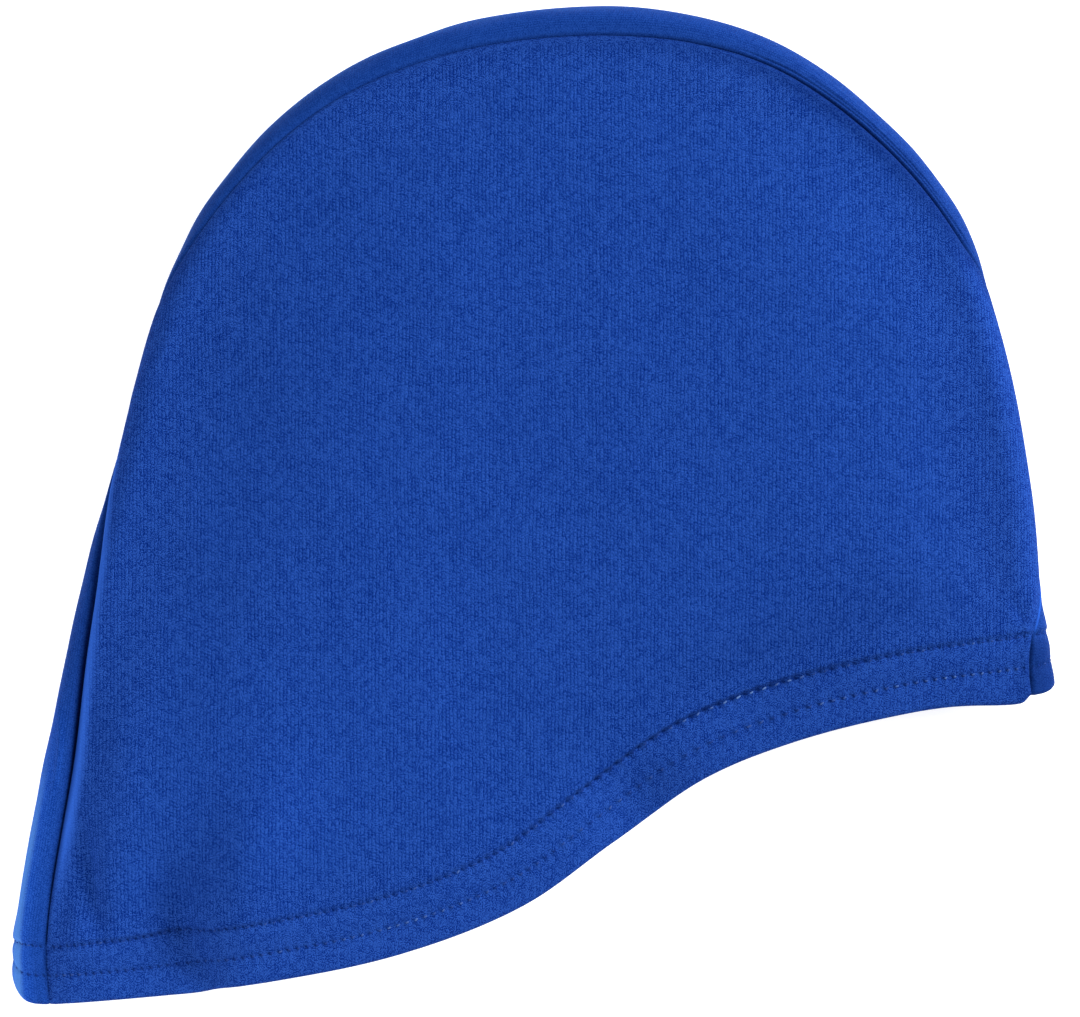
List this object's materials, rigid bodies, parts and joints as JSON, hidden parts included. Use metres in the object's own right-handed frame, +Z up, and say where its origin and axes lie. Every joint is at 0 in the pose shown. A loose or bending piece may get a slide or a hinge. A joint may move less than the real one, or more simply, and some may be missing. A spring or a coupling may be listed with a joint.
{
  "type": "swim cap",
  "caption": "Knitted cloth swim cap lying on its side: side panels joined by a strip over the crown, with a long nape and a turned-up hem round the open mouth.",
  "frame": {"origin": "on the surface that the cap lies on, under the middle of its bounding box", "axes": "+X towards the forehead, +Y towards the crown, -Y out of the opening, +Z up from the surface"},
  "size_m": [0.2189, 0.2092, 0.021],
  "materials": {
    "side_cloth": "fine matt knit, royal blue",
    "strip_cloth": "fine knit with a soft sheen, royal blue"
  },
  "bodies": {
    "root": {"right_side_panel": "side_cloth", "left_side_panel": "side_cloth", "centre_panel": "strip_cloth"}
  },
  "joints": []
}
